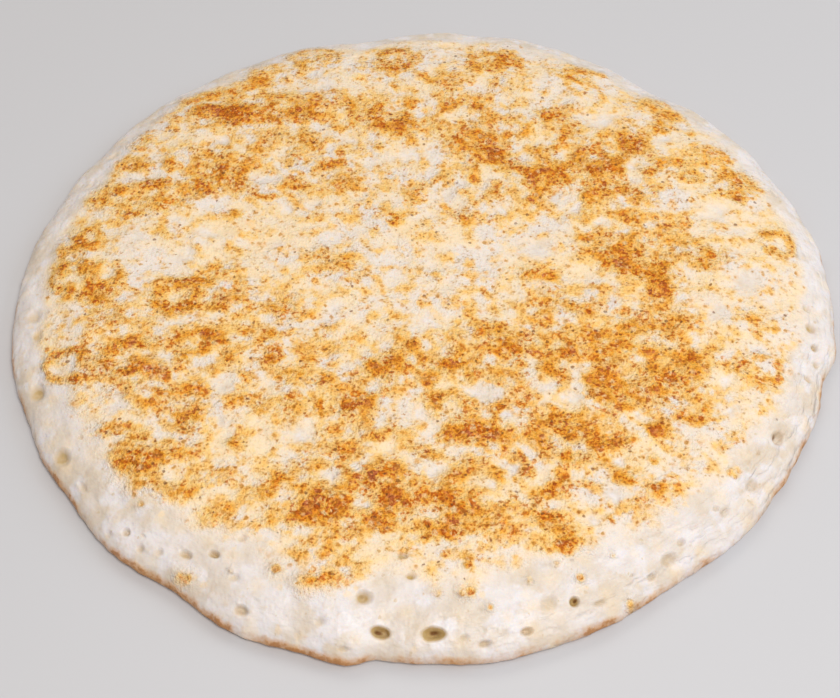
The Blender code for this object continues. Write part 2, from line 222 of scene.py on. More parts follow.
# Pale hollows that the griddle never touched: x, y, half length across, half length away; millimetres.
ISLANDS = (
    (-59, 12, 1.6, 1.7), (-44, 13, 1.5, 1.8), (-56, 35, 1.1, 1.3), (-33, 29, 2.5, 1.3), (-42, 41, 1.3, 1.3),
    (-15, 41, 1.5, 1.2), (-5, 56, 2.2, 1.4), (-28, 21, 1.5, 1.3), (5, 25, 2.3, 2.2), (9, 28, 1.3, 1.2),
    (24, 9, 2.7, 2.8), (39, 47, 3.3, 3.3), (61, 20, 3.7, 2.7), (45, 33, 1.7, 1.5), (29, 23.5, 3, 2.4),
    (37, 17, 1.5, 1.3), (32, 21, 1.6, 1.7), (59, -8, 2.2, 1.8), (65, 0, 3.1, 3), (52, 42, 1.8, 1.7),
    (16, 20, 1.5, 1.3), (1, -10, 3, 2.9), (-3, 36, 3, 2.5), (0, -33, 2, 2.5), (-48, 8, 2, 2),
    (-38, -27, 1.3, 1.2), (-23, -38, 1.9, 1.6), (-38, -35, 1.3, 1.2), (-17, -48, 2, 1.3),
    (-58, -31, 2.3, 1.9), (-28, -61, 2.2, 1.6), (-11, -54, 1.3, 1), (23, -27, 2.7, 2.2), (28, -30, 2.5, 2.2),
    (17, -46.5, 1.7, 1.5), (36, -44.5, 1.6, 1.2), (35, -52, 2, 1.7), (31, -57, 2, 1.3),
    (17, -33.5, 1.5, 1.2), (59, -32, 1.9, 1.6), (59, -25, 1.8, 1.9), (3, -46, 2.4, 2), (13, -50, 1.5, 1.3),
    (11, -28, 2.9, 1.9), (42, -33, 1.3, 1.2),
)

# Smooth noise, in layers. Each row is one layer: length of its clouds in millimetres, how far it reaches up
# and down, and which noise it is. Shapes and places reach that many millimetres. The rest are plain shares.
RAGGED_EDGE = ((3.1, 0.22, 17.0), (1.5, 0.12, 18.0))
ROUGH_LIP = ((2.2, 0.10, 7.0),)
LUMPS = ((7.0, 0.30, 40.0), (3.6, 0.26, 2.0), (1.8, 0.09, 6.0))
TOASTED_GRAIN = ((1.1, 0.05, 4.0),)
UNDERSIDE_PITS = ((2.6, 0.5, 9.4),)
UNDERSIDE_TOAST = ((16.0, 0.30, 11.4), (5.0, 0.26, 12.6))
PORE_WOBBLE = ((1.6, 0.12, 24.0),)
WANDER_ACROSS = ((5.0, 1.2, 3.7), (2.0, 0.9, 4.4))
WANDER_AWAY = ((5.0, 1.2, 8.1), (2.0, 0.9, 9.3))
RING_WOBBLE = ((2.1, 0.22, 36.0),)
RING_GAPS = ((2.4, 1.1, 30.0),)
ISLAND_WOBBLE = ((1.5, 0.8, 33.0),)
FILM_GAPS = ((12.0, 0.6, 1.2), (4.0, 1.6, 21.0))
CRUST_GAPS = ((7.0, 1.0, 13.0),)

# Folds of the skin, which run along the edge: cells round the edge, width of a fold in millimetres, share.
FOLDS = ((16, 1.5, 0.5), (9, 3.4, 2.0))
FOLD_HEIGHT = 0.06
CREASED_FOLD_HEIGHT = 0.28

# The finer folds in the skin's look: the radius they are laid out on, and how far they wander in or out.
FOLD_RADIUS = 82 * MM
FOLD_WANDER = 1.5 * MM

# The white band of the edge, in millimetres: its width, how softly it ends, and what the front adds to each.
BAND_WIDTH = 4.0
BAND_SOFTNESS = 5.0
WIDER_IN_FRONT = 5.0
SOFTER_IN_FRONT = 4.0

# Width of the ragged edge, and where marks near the edge set in or end, as a span of the distance in from it;
# millimetres.
RAGGED_WIDTH = 3
LUMPS_SPAN = (0, 2.5)
FOLDS_SPAN = (0.5, 2)
CREASES_SPAN = (3, 14)
CRUST_SPAN = (-0.4, 1.2)
PITS_SPAN = (0, 3)

# Stretches of the edge, as the bearing of the middle and the half width: where the skin creased, and where
# the crust browned most.
CREASED_STRETCH = (-30, 35)
GOLDEN_STRETCH = (-125, 35)

# How the pores are cut and how their insides get painted shade, how deep the pale hollows are, and how much
# of the pits' noise leaves the underside flat; depths in millimetres.
CUT_SHARE = 0.8
STEEP_DEPTH = 2.2
CORE_DEPTH = 0.9
PLAIN_SHADE = 0.58
ISLAND_DEPTH = 0.16
PIT_START = 0.125

# How strongly each kind of mark browns the bread, and how pale and moist the hollows stay.
PATCH_STRENGTH = 0.85
RING_STRENGTH = 0.9
RING_MIDDLE = 0.7
SPOT_STRENGTH = 0.75
SPOT_HALO = 0.25
FILM_STRENGTH = 1.3
FAINTEST_FILM = 0.09
ISLAND_PALENESS = 0.8
ISLAND_MOISTURE = 0.75
UNDERSIDE_BROWNING = 0.5
UNDERSIDE_CRUST = 0.3

# How the disc of triangles is laid out.
SIDES = 6
FIRST_CORNER = 90
RING_CROWDING = math.radians(72)
LIP_STEPS = 4
RIM_TOLERANCE = 0.002
PORE_CUTS = 2
PORE_MARGIN = 1.35

# Noises of the bread's look: length of the clouds in millimetres, detail, roughness.
LOOK_NOISES = {
    "wide": (9.0, 2.0, 0.5),
    "broad": (5.0, 2.0, 0.5),
    "mottle": (2.6, 2.0, 0.55),
    "fleck": (1.0, 2.0, 0.6),
    "grain": (0.55, 1.0, 0.5),
    "fine": (0.36, 1.0, 0.5),
}

# Layers of specks, the lowest first. Each row is one layer: length of a cell in millimetres, reach of its
# dot, softness, share of the cells with a dot on full browning and on pale batter, least strength, how far
# the strength varies, colour, and how it is laid on.
SPECKS = (
    (0.80, 0.40, 0.30, 0.50, 0.08, 0.20, 0.5, "scorching", "MULTIPLY"),
    (1.40, 0.60, 0.60, 0.50, 0.09, 0.32, 0.0, "gold", "MIX"),
    (1.40, 0.34, 0.22, 0.50, 0.09, 0.30, 0.6, "scorching", "MULTIPLY"),
    (2.40, 0.15, 0.08, 0.30, 0.12, 0.70, 0.0, "speck", "MIX"),
)

# Sockets of a Mix node that is set to colours.
MIX_SHARE = 0
MIX_FIRST = 6
MIX_SECOND = 7
MIX_RESULT = 2

# Soft lamps, all aimed at the middle of the bread: name, place and size in metres, power in watts, colour.
LAMPS = (
    ("softbox", (0.14, -0.36, 0.66), (0.28, 0.28), 3.56, (1.0, 0.98, 0.955)),
    ("side light", (0.62, 0.05, 0.42), (0.4, 0.4), 1.35, (0.72, 0.86, 1.0)),
    ("sheen", (-0.05, 0.55, 0.62), (0.7, 0.3), 1.5, (1.0, 0.94, 0.85)),
)


def seen(red, green, blue):
    """A colour as it looks on a screen, from 0 to 255, as the light that Blender's sockets take."""
    shares = [value / 255 for value in (red, green, blue)]
    return tuple(share / 12.92 if share <= 0.04045 else ((share + 0.055) / 1.055) ** 2.4 for share in shares)


def length_setting(name, description, size):
    return FloatProperty(name=name, description=description, default=size, unit="LENGTH")


def colour_setting(name, description, colour):
    return FloatVectorProperty(name=name, description=description, default=colour, subtype="COLOR")


class BreadSizes(bpy.types.PropertyGroup):
    """The bread's driving dimensions."""

    mean_radius: length_setting("Mean radius", "Middle of the round to the edge", 82.4 * MM)
    thickness: length_setting("Thickness", "Underside to the flat middle of the top", 8.4 * MM)
    crown_width: length_setting("Crown width", "Width over which the top rises", 26.0 * MM)
    crown_fullness: FloatProperty(
        name="Crown fullness", description="How soon the top levels out; 2 is a quarter ellipse", default=2.4
    )
    lip_height: length_setting("Lip height", "Height of the thin cooked edge", 1.3 * MM)
    lip_curl: length_setting("Lip curl", "How far the edge turns in underneath", 3.0 * MM)
    ripple_height: length_setting("Ripple height", "Unevenness of the top", 0.45 * MM)
    ripple_length: length_setting("Ripple length", "Distance between ripples", 11.0 * MM)
    ripple_fade: length_setting("Ripple fade", "Width of edge without ripples", 7.0 * MM)
    rings: IntProperty(name="Rings", description="Rings of triangles in the underside", default=64, min=8)


class BreadColours(bpy.types.PropertyGroup):
    """Colours of the cooked batter."""

    cream: colour_setting("Cream", "Steamed batter", seen(230, 224, 225))
    shade_cream: colour_setting("Shaded cream", "Greyer clouds in it", seen(222, 207, 190))
    cool_cream: colour_setting("Cool cream", "Thinner, bluer clouds in it", seen(233, 230, 236))
    griddled_cream: colour_setting("Griddled cream", "Batter that just met the griddle", seen(247, 221, 181))
    tan: colour_setting("Tan", "First browning", seen(253, 203, 110))
    gold: colour_setting("Gold", "Edges of the browned patches", seen(252, 174, 38))
    orange: colour_setting("Orange", "Browned patches", seen(232, 127, 1))
    rosy: colour_setting("Rosy", "Pinker grains of them", seen(216, 124, 76))
    blister: colour_setting("Blister", "Pale skin over small bubbles in them", seen(248, 218, 172))
    # Shading multiplies the colour as painted shade: in the low wrinkles, with their own greyer tone, and on
    # the lee of the creased folds.
    shading: colour_setting("Shading", "Share of the light that dull wrinkles leave", (0.84, 0.79, 0.74))
    scorching: colour_setting("Scorching", "Share of the light that a dark grain leaves", (0.60, 0.43, 0.16))
    speck: colour_setting("Speck", "Scorched specks", seen(118, 64, 28))
    crust: colour_setting("Crust", "Griddled underside and thin edge", seen(210, 154, 92))
    baked: colour_setting("Baked", "Browner streaks of that edge", seen(160, 94, 36))
    # The pores' insides: partly their own colour, partly painted shade, olive on the walls and darkest at the
    # bottom of the deepest.
    pore: colour_setting("Pore", "Inside of the open pores", seen(206, 182, 146))
    olive_pore_shade: colour_setting("Olive pore", "Walls of the deepest pores", seen(192, 162, 104))
    pore_bottom_shade: colour_setting("Deep pore", "Bottom of the deepest pores", seen(112, 68, 30))


class StudioSizes(bpy.types.PropertyGroup):
    """Camera and floor."""

    lens: FloatProperty(name="Lens", description="Focal length in millimetres", default=75.0)
    elevation: FloatProperty(
        name="Elevation", description="Angle that the camera looks down", default=math.radians(50.73),
        subtype="ANGLE",
    )
    distance: length_setting("Distance", "Camera to the point it looks at", 346.81 * MM)
    target: FloatVectorProperty(
        name="Target", description="Point that the camera looks at",
        default=(-0.93 * MM, -13.70 * MM, 4.0 * MM), subtype="TRANSLATION",
    )
    floor_size: length_setting("Floor size", "Width of the floor", 4.0)
    floor: colour_setting("Floor", "Colour of the floor", seen(200, 199, 202))
    sky: colour_setting("Room", "Light from the room", seen(240, 236, 230))
    sky_strength: FloatProperty(name="Room strength", description="Strength of the room light", default=0.40)


# ---------------------------------------------------------------- form


def edge_radius(bearing, sizes):
    """Distance from the middle of the ladled round to its edge."""
    radius = np.full_like(bearing, sizes.mean_radius)
    for centre, half_width, reach in SWELLS:
        turn = (bearing - centre + 180) % 360 - 180
        radius += reach * MM * np.exp(-0.5 * (turn / half_width) ** 2)
    return radius


def smooth(low, high, value):
    """0 below low, 1 above high, with a soft rise between."""
    share = np.clip((value - low) / (high - low), 0, 1)
    return share * share * (3 - 2 * share)


def across(inset, span):
    """0 before a span of the distance in from the edge, given in millimetres, and 1 past it."""
    low, high = span
    return smooth(low * MM, high * MM, inset)


def bell(value):
    """1 at 0, and falling away either side of it."""
    return np.exp(-(value ** 2))


def along(bearing, stretch):
    """How near bearings are to the middle of a stretch of the edge."""
    centre, half_width = stretch
    return bell((bearing - centre) / half_width)


def clouds(x, y, length, which):
    """Smooth noise from about -1 to 1 over points, whose clouds are about that length."""
    return np.array([noise.noise(Vector((a, b, which))) for a, b in zip(x / length, y / length)])


def layered(x, y, layers):
    """Layers of smooth noise, summed."""
    return sum(reach * clouds(x, y, length * MM, which) for length, reach, which in layers)


def round_place(point):
    """The place on a round disc of a point of the six-sided fan."""
    bearing = math.degrees(math.atan2(point.y, point.x))
    wedge = 360 / SIDES
    past_corner = (bearing - FIRST_CORNER) % wedge
    near = math.sin(math.radians(past_corner))
    far = math.sin(math.radians(wedge - past_corner))
    ring = math.hypot(point.x, point.y) * (near + far) / math.sin(math.radians(wedge))
    angle = math.radians(bearing - past_corner + wedge * near / (near + far))
    return ring * math.cos(angle), ring * math.sin(angle), point.z


def spread(ring):
    """Share of the radius at which a ring of the disc lies: the rings crowd towards the edge."""
    return np.sin(ring * RING_CROWDING) / math.sin(RING_CROWDING)


def plan(bearing, radius):
    """Places in plan of points given by bearing and distance from the middle."""
    return radius * np.cos(np.radians(bearing)), radius * np.sin(np.radians(bearing))


def slab(rings):
    """A disc of triangles with an underside and a wall, its top and wall cut twice as fine."""
    bm = bmesh.new()
    bmesh.ops.create_circle(bm, cap_ends=True, cap_tris=True, segments=SIDES, radius=1.0)
    bmesh.ops.subdivide_edges(bm, edges=bm.edges[:], cuts=rings - 1, use_grid_fill=True)
    for vert in bm.verts:
        vert.co = round_place(vert.co)
    grown = bmesh.ops.extrude_face_region(bm, geom=bm.faces[:], use_keep_orig=True)["geom"]
    raised = [item for item in grown if isinstance(item, bmesh.types.BMVert)]
    bmesh.ops.translate(bm, verts=raised, vec=(0, 0, 1))
    upright = [edge for edge in bm.edges if edge.verts[0].co.z != edge.verts[1].co.z]
    bmesh.ops.subdivide_edges(bm, edges=upright, cuts=LIP_STEPS - 1, use_grid_fill=True)
    above = [edge for edge in bm.edges if max(vert.co.z for vert in edge.verts) > 0]
    bmesh.ops.subdivide_edges(bm, edges=above, cuts=1, use_grid_fill=True)
    for vert in bm.verts:
        ring = math.hypot(vert.co.x, vert.co.y)
        if abs(ring - 1) < RIM_TOLERANCE:
            vert.co.x /= ring
            vert.co.y /= ring
    return bm


def plan_place(flat, sizes):
    """Bearing, distance from the middle and distance in from the edge, for points of the slab's top."""
    bearing = np.degrees(np.arctan2(flat[:, 1], flat[:, 0]))
    edge = edge_radius(bearing, sizes)
    radius = spread(np.hypot(flat[:, 0], flat[:, 1])) * edge
    return bearing, radius, edge - radius


def pore_distance(x, y, pore, sizes):
    """Distance of points from a pore's middle, as a share of its half width either way."""
    bearing, inset, length, width = pore[:4]
    radius = float(edge_radius(np.array([float(bearing)]), sizes)[0]) - inset * MM
    angle = math.radians(bearing)
    away_x = x - radius * math.cos(angle)
    away_y = y - radius * math.sin(angle)
    outward = away_x * math.cos(angle) + away_y * math.sin(angle)
    sideways = away_y * math.cos(angle) - away_x * math.sin(angle)
    return np.hypot(sideways / (length * MM / 2), outward / (width * MM / 2))


def refine_pores(bm, sizes):
    """Cuts the triangles finer wherever a pore will be sunk."""
    for _ in range(PORE_CUTS):
        edges = [edge for edge in bm.edges if min(vert.co.z for vert in edge.verts) > 1 - RIM_TOLERANCE]
        middles = np.array([((edge.verts[0].co + edge.verts[1].co) / 2)[:] for edge in edges])
        bearing, radius, _inset = plan_place(middles, sizes)
        x, y = plan(bearing, radius)
        near = np.zeros(len(edges), bool)
        for pore in PORES + FINE_PORES:
            near |= pore_distance(x, y, pore, sizes) < PORE_MARGIN
        near &= np.hypot(middles[:, 0], middles[:, 1]) < 1 - RIM_TOLERANCE
        chosen = [edge for edge, wanted in zip(edges, near) if wanted]
        bmesh.ops.subdivide_edges(bm, edges=chosen, cuts=1, use_grid_fill=True)


def bread_form(flat, sizes):
    """The smooth crowned form that the slab's points move to, and where on the bread each point lies."""
    bearing, radius, inset = plan_place(flat, sizes)
    edge = radius + inset
    level = flat[:, 2]
    top = level > 1 - RIM_TOLERANCE
    under = level < RIM_TOLERANCE
    wall = ~top & ~under
    turn = (1 - level) * math.pi / 2
    rise = np.clip(inset / sizes.crown_width, 0, 1)
    crown = (sizes.thickness - sizes.lip_height) * np.sqrt(1 - (1 - rise) ** sizes.crown_fullness)
    x, y = plan(bearing, radius)
    ripple = sizes.ripple_height * clouds(x, y, sizes.ripple_length, 0.0)
    height = sizes.lip_height + crown + ripple * np.clip(inset / sizes.ripple_fade, 0, 1)
    height[wall] = (sizes.lip_height * (1 - np.sin(turn)))[wall]
    height[under] = 0
    reach = edge - sizes.lip_curl * (1 - np.cos(turn))
    reach[under] = (radius / edge * (edge - sizes.lip_curl))[under]
    reach[top] = radius[top]
    reach += MM * layered(x, y, RAGGED_EDGE) * np.clip(1 - inset / (RAGGED_WIDTH * MM), 0, 1)
    where = SimpleNamespace(bearing=bearing, inset=inset, level=level, top=top, under=under, wall=wall)
    return np.stack([*plan(bearing, reach), height], axis=1), where


def skin_folds(bearing, inset):
    """Folds of the skin, which run along the edge."""
    angles = np.radians(bearing)
    total = np.zeros_like(bearing)
    for turns, width, share in FOLDS:
        places = zip(np.cos(angles) * turns, np.sin(angles) * turns, inset / (width * MM))
        total += share * np.array([noise.noise(Vector(place)) for place in places])
    return total


def pore_relief(x, y, sizes):
    """Depth of the pores at points of the top, their insides, which get their own colour and painted shade,
    and their darkest bottoms.
    """
    depth = np.zeros_like(x)
    pore_shade = np.zeros_like(x)
    deep = np.zeros_like(x)
    wobble = layered(x, y, PORE_WOBBLE)
    for pore in PORES + FINE_PORES:
        bearing, _inset, length, width, deepest = pore
        away = pore_distance(x, y, pore, sizes) + wobble
        steep = min(deepest / STEEP_DEPTH, 1.0)
        depth += deepest * CUT_SHARE * MM * (1 - smooth(0.15 * steep, 1.3 - 0.2 * steep, away))
        shade = PLAIN_SHADE + sum(more * along(bearing, (centre, half)) for centre, half, more in PORE_SHADES)
        inside_shade = min(0.50 + deepest / STEEP_DEPTH, 1.0) * shade
        # The painted shade sits off each pore's middle, towards one side.
        shaded_lee = pore_distance(x + 0.2 * length * MM, y + 0.15 * width * MM, pore, sizes) + wobble
        shaded_lee = away * steep + shaded_lee * (1 - steep)
        pore_shade = np.maximum(pore_shade, (1 - smooth(0.05 + 0.65 * steep, 1.2 - 0.1 * steep, shaded_lee)) * inside_shade)
        # The darkest bottom of each deep pore is painted shade, set a little off its middle.
        core_x = x + 0.5 * MM * math.sin(bearing * 3)
        core_y = y + 0.35 * MM * math.cos(bearing * 2)
        core_shade = 1 - smooth(0.0, 0.7, pore_distance(core_x, core_y, pore, sizes) + 1.5 * wobble)
        deep = np.maximum(deep, core_shade * min(max(deepest - CORE_DEPTH, 0), 1.0))
    return depth, pore_shade, deep


def patch_distance(x, y, row):
    return np.hypot((x - row[0] * MM) / (row[2] * MM), (y - row[1] * MM) / (row[3] * MM))


def unbrowned(x, y, wander_x, wander_y):
    """How pale the patches, rings and spots leave each point, from 0 to 1."""
    pale = np.ones_like(x)
    for row in PATCHES:
        pale *= 1 - PATCH_STRENGTH * row[4] * (1 - smooth(0.2, 1.5, patch_distance(wander_x, wander_y, row)))
    wobble = layered(x, y, RING_WOBBLE)
    gaps = np.clip(0.75 + layered(x, y, RING_GAPS), 0, 1)
    for row in BROWN_RINGS:
        away = patch_distance(0.6 * x + 0.4 * wander_x, 0.6 * y + 0.4 * wander_y, row) + wobble
        pale *= 1 - RING_STRENGTH * row[4] * gaps * bell((away - 0.9) / 0.42)
        pale = 1 - (1 - pale) * (1 - RING_MIDDLE * bell(away / 0.5))
    for spot_x, spot_y, size, strength in RIM_SPOTS:
        away = patch_distance(x, y, (spot_x, spot_y, size, size))
        pale *= 1 - SPOT_STRENGTH * strength * (1 - smooth(0.0, 1.5, away))
        pale *= 1 - SPOT_HALO * strength * (1 - smooth(0.8, 3.4, away))
    return pale


def griddled_share(x, y, bearing, inset):
    """0 on the edge's white band, which is widest at the front, and 1 where the top lay on the griddle."""
    front = np.clip(-np.sin(np.radians(bearing)), 0, 1)
    band = BAND_WIDTH + WIDER_IN_FRONT * front ** 2
    band += (2.2 + front) * clouds(x, y, 9 * MM, 5.0) + 1.6 * clouds(x, y, 4 * MM, 15.0)
    return smooth(0, 1, (inset - band * MM) / ((BAND_SOFTNESS + SOFTER_IN_FRONT * front) * MM))


def browning(x, y, bearing, inset):
    """How far each point of the top browned, and how moist and pale it stayed, both from 0 to 1."""
    wander_x = x + MM * layered(x, y, WANDER_ACROSS)
    wander_y = y + MM * layered(x, y, WANDER_AWAY)
    pale = unbrowned(x, y, wander_x, wander_y)
    griddled = griddled_share(x, y, bearing, inset)
    film = FAINTEST_FILM + sum(FILM_STRENGTH * row[4] * bell(patch_distance(x, y, row)) for row in FILM)
    film = film * griddled * np.clip(1 + layered(x, y, FILM_GAPS), 0, 2.4)
    toast = 1 - pale * (1 - np.clip(film, 0, 0.6))
    untouched = np.zeros_like(x)
    wobble = layered(x, y, ISLAND_WOBBLE)
    for row in ISLANDS:
        away = patch_distance(wander_x, wander_y, row) + wobble
        untouched = np.maximum(untouched, 1 - smooth(-0.2, 1.9, away))
    toast *= 1 - ISLAND_PALENESS * untouched
    return np.clip(toast, 0, 1), np.maximum(ISLAND_MOISTURE * untouched, (1 - griddled) * pale)


def surface_relief(x, y, where, toast, moist, creased):
    """Height that the lumps, folds and hollows add to each point, before the pores."""
    islands = sum(1 - smooth(0.3, 1.4, patch_distance(x, y, row)) for row in ISLANDS)
    lumps = layered(x, y, LUMPS) + layered(x, y, TOASTED_GRAIN) * toast - ISLAND_DEPTH * islands
    relief = lumps * across(where.inset, LUMPS_SPAN)
    folds = (FOLD_HEIGHT + CREASED_FOLD_HEIGHT * creased) * skin_folds(where.bearing, where.inset)
    relief += folds * moist * across(where.inset, FOLDS_SPAN)
    pits = np.maximum(layered(x, y, UNDERSIDE_PITS) - PIT_START, 0) * across(where.inset, PITS_SPAN)
    relief[where.under] = -pits[where.under]
    lip = layered(x, y, ROUGH_LIP) * np.sin(where.level * math.pi)
    relief[where.wall] = lip[where.wall]
    return relief * MM


def crust_share(x, y, where):
    """How much of the griddled crust shows at each point, from 0 to 1."""
    crust = 1 - 0.3 * where.level
    crust[where.top] = (1 - across(where.inset, CRUST_SPAN))[where.top]
    crust *= np.clip(0.85 + 0.3 * along(where.bearing, GOLDEN_STRETCH) + layered(x, y, CRUST_GAPS), 0, 1.2)
    crust[where.under] = UNDERSIDE_CRUST
    return crust


def write_places(mesh, places):
    mesh.vertices.foreach_set("co", places.astype(np.float32).ravel())
    mesh.update()


def read_normals(mesh):
    normals = np.empty(len(mesh.vertices) * 3, np.float32)
    mesh.vertex_normals.foreach_get("vector", normals)
    return normals.reshape(-1, 3).astype(float)


def paint(mesh, name, values):
    mesh.attributes.new(name, "FLOAT", "POINT").data.foreach_set("value", values.astype(np.float32))


def slab_mesh(sizes):
    """The flat slab as a mesh, and its points."""
    bm = slab(sizes.rings)
    refine_pores(bm, sizes)
    bmesh.ops.triangulate(bm, faces=bm.faces[:])
    bmesh.ops.recalc_face_normals(bm, faces=bm.faces[:])
    mesh = bpy.data.meshes.new("uttapam_bread")
    bm.to_mesh(mesh)
    bm.free()
    flat = np.empty(len(mesh.vertices) * 3, np.float32)
    mesh.vertices.foreach_get("co", flat)
    return mesh, flat.reshape(-1, 3).astype(float)


def bread_mesh(sizes):
    mesh, flat = slab_mesh(sizes)
    places, where = bread_form(flat, sizes)
    write_places(mesh, places)
    x, y = places[:, 0], places[:, 1]
    pore_depth, pore_shade, deep = pore_relief(x, y, sizes)
    toast, moist = browning(x, y, where.bearing, where.inset)
    creased = along(where.bearing, CREASED_STRETCH) * (1 - across(where.inset, CREASES_SPAN)) * where.top
    relief = surface_relief(x, y, where, toast, moist, creased) - pore_depth * where.top
    places += read_normals(mesh) * relief[:, None]

    toast[where.under] = (UNDERSIDE_BROWNING + layered(x, y, UNDERSIDE_TOAST))[where.under]
    toast[where.wall] = 0
    moist[where.under] = 0
    marks = {
        "toast": toast,
        "moist": moist,
        # The pores' insides, which get painted shade, and their darkest bottoms.
        "pore_shade": pore_shade * (1 - 0.8 * toast) * where.top,
        "deep": deep * where.top,
        "creased": creased,
        "crust": crust_share(x, y, where),
    }
    middle = (places.min(axis=0) + places.max(axis=0)) / 2
    cad_low, cad_high = cad_box
    places[:, 0] += (cad_low.x + cad_high.x) / 2 - middle[0]
    places[:, 1] += (cad_low.y + cad_high.y) / 2 - middle[1]
    write_places(mesh, places)
    for name, values in marks.items():
        paint(mesh, name, np.clip(values, 0, 1))
    paint(mesh, "inset", where.inset)
    mesh.shade_smooth()
    return mesh


# ---------------------------------------------------------------- looks


class Number:
    """A socket that carries a number. Python's operators on it add Math nodes to its tree."""

    def __init__(self, look, socket):
        self.look = look
        self.socket = socket

    def maths(self, operation, *terms):
        """A Math node on this number and the terms after it."""
        node = self.look.node("ShaderNodeMath", {"operation": operation}, dict(enumerate((self, *terms))))
        return Number(self.look, node.outputs["Value"])

    def __add__(self, other):
        return self.maths("ADD", other)

    __radd__ = __add__

    def __sub__(self, other):
        return self.maths("SUBTRACT", other)

    def __rsub__(self, other):
        return self * -1 + other

    def __mul__(self, other):
        return self.maths("MULTIPLY", other)

    __rmul__ = __mul__

    def step(self, low, high):
        """0 below low, 1 above high, with a soft rise between."""
        values = {"Value": self, "From Min": low, "From Max": high}
        node = self.look.node("ShaderNodeMapRange", {"interpolation_type": "SMOOTHSTEP"}, values)
        return Number(self.look, node.outputs["Result"])


class Look:
    """One material, and the one method that adds its nodes."""

    def __init__(self, name):
        self.material = bpy.data.materials.new(name)
        self.material.use_nodes = True
        self.tree = self.material.node_tree
        self.tree.nodes.clear()
        self.place = self.node("ShaderNodeTexCoord").outputs["Object"]

    def node(self, kind, settings=None, inputs=None):
        node = self.tree.nodes.new(kind)
        for name, value in (settings or {}).items():
            setattr(node, name, value)
        for name, value in (inputs or {}).items():
            source = value.socket if isinstance(value, Number) else value
            if isinstance(source, bpy.types.NodeSocket):
                self.tree.links.new(node.inputs[name], source)
            elif node.inputs[name].type == "RGBA":
                node.inputs[name].default_value = (*source, 1.0)
            else:
                node.inputs[name].default_value = source
        return node

    def painted(self, name):
        """Numbers that Python painted on the mesh."""
        node = self.node("ShaderNodeAttribute", {"attribute_name": name, "attribute_type": "GEOMETRY"})
        return Number(self, node.outputs["Fac"])

    def noise(self, place, length, detail=2.0, roughness=0.5):
        """Noise from 0 to 1 whose clouds are about that many metres long."""
        values = {"Vector": place, "Scale": 1 / length, "Detail": detail, "Roughness": roughness}
        return Number(self, self.node("ShaderNodeTexNoise", {}, values).outputs["Fac"])

    def vectors(self, operation, *terms):
        """A Vector Math node on these vectors."""
        node = self.node("ShaderNodeVectorMath", {"operation": operation}, dict(enumerate(terms)))
        return node.outputs["Vector"]

    def mixed(self, share, first, second, blend="MIX"):
        """That share of the second colour laid on the first."""
        values = {MIX_SHARE: share, MIX_FIRST: first, MIX_SECOND: second}
        node = self.node("ShaderNodeMix", {"data_type": "RGBA", "blend_type": blend}, values)
        return node.outputs[MIX_RESULT]

    def surface(self, inputs, settings=None):
        """Gives the material one Principled shader."""
        shader = self.node("ShaderNodeBsdfPrincipled", settings, inputs)
        self.node("ShaderNodeOutputMaterial", {}, {"Surface": shader.outputs["BSDF"]})
        return self.material


